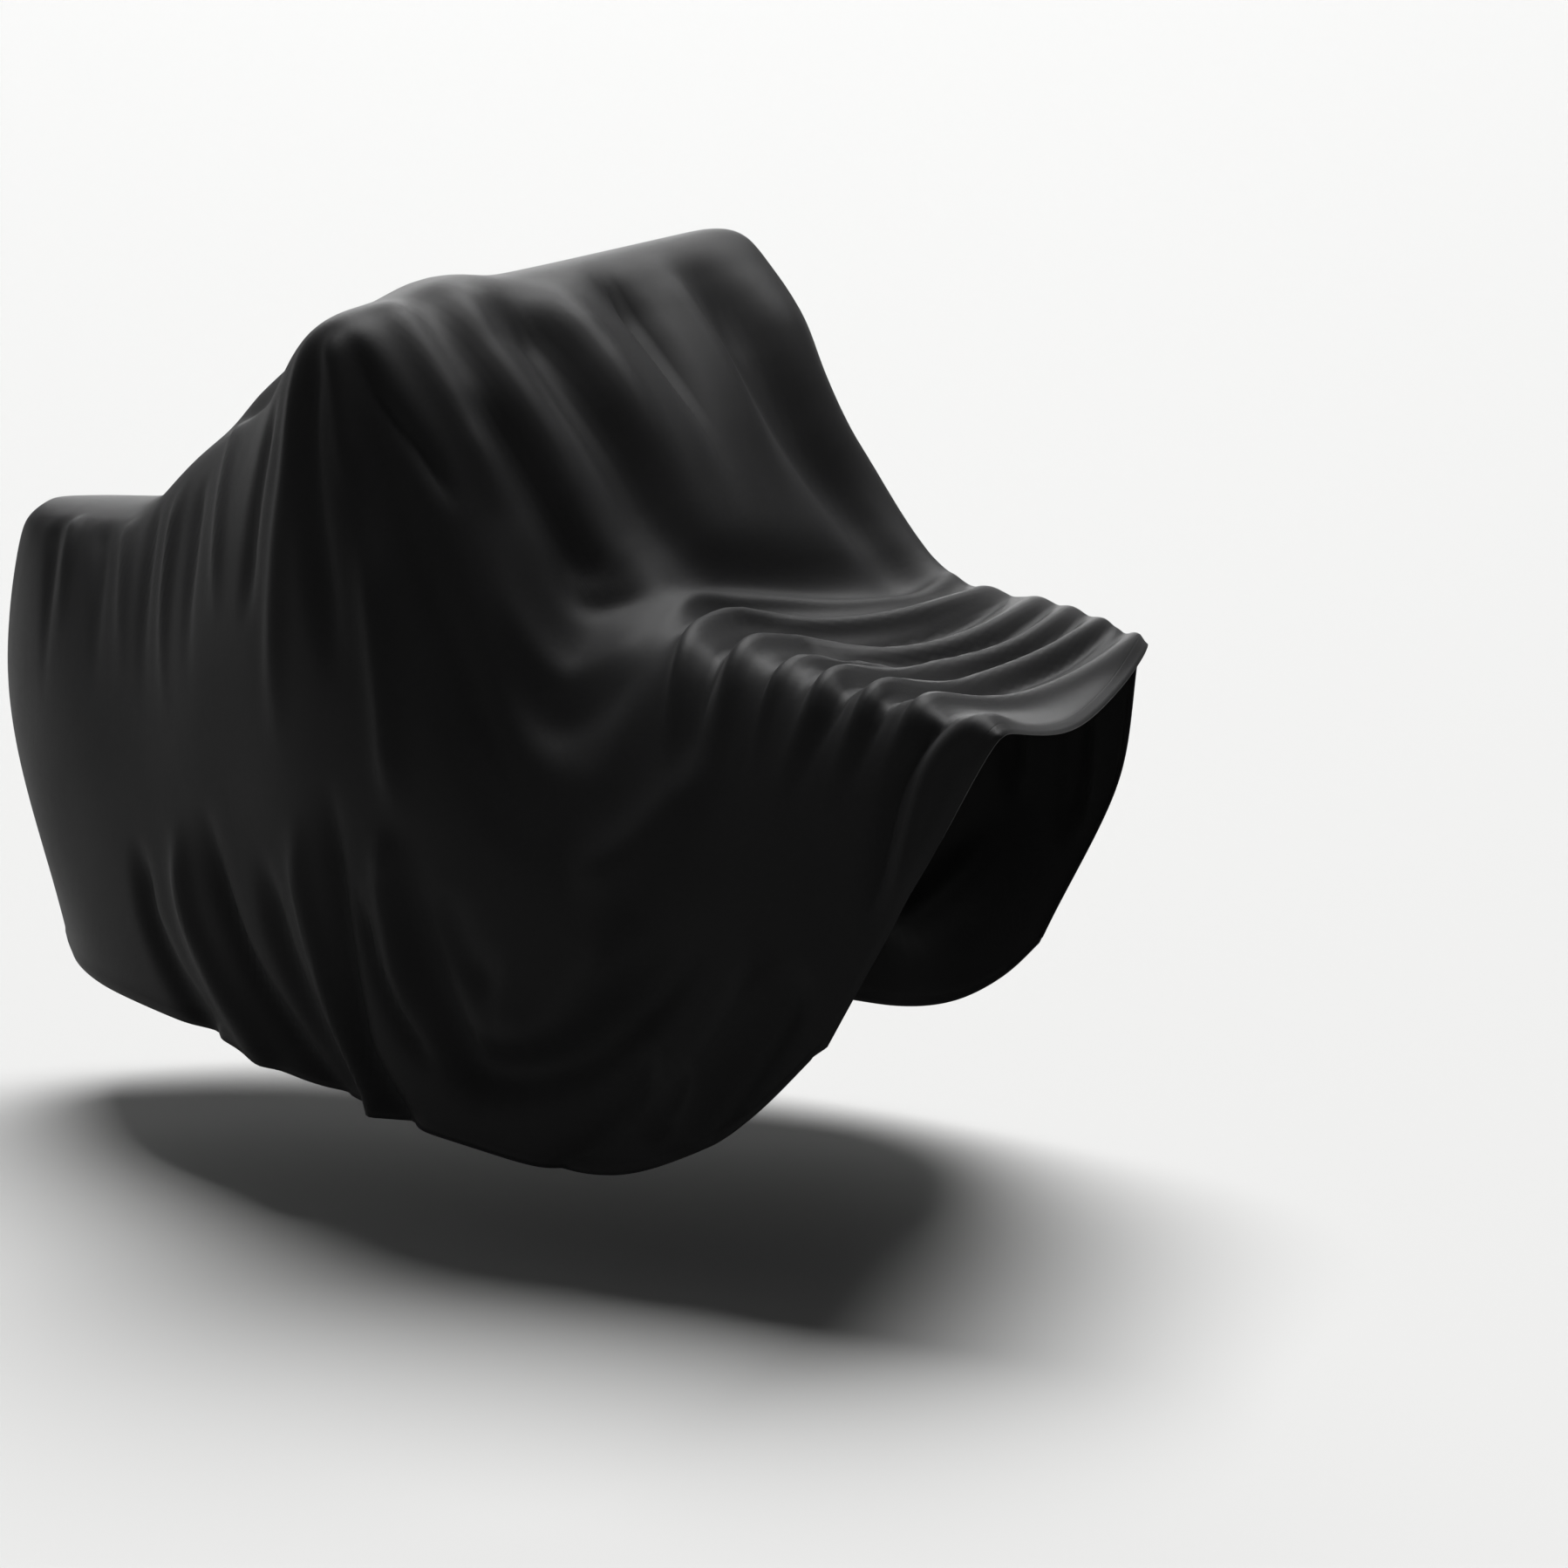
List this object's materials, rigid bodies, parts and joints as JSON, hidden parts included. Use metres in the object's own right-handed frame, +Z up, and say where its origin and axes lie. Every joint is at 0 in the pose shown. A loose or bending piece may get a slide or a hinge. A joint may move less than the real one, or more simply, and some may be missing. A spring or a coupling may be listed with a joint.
{
  "type": "bicycle cover",
  "caption": "Soft black cloth cover for a long bicycle, closed at the rear and open in front, draped in folds over a high ridge and a low flat.",
  "frame": {"origin": "on the underside of the cloth, in the middle of the high ridge, where the cover is held up", "axes": "+X forward, towards the cover's open front; +Y to the left side; +Z up"},
  "size_m": [2.0471, 0.81, 1.0285],
  "materials": {
    "cloth": "soft black stretch knit with a faint satin sheen"
  },
  "bodies": {
    "root": {"cover": "cloth"}
  },
  "joints": []
}
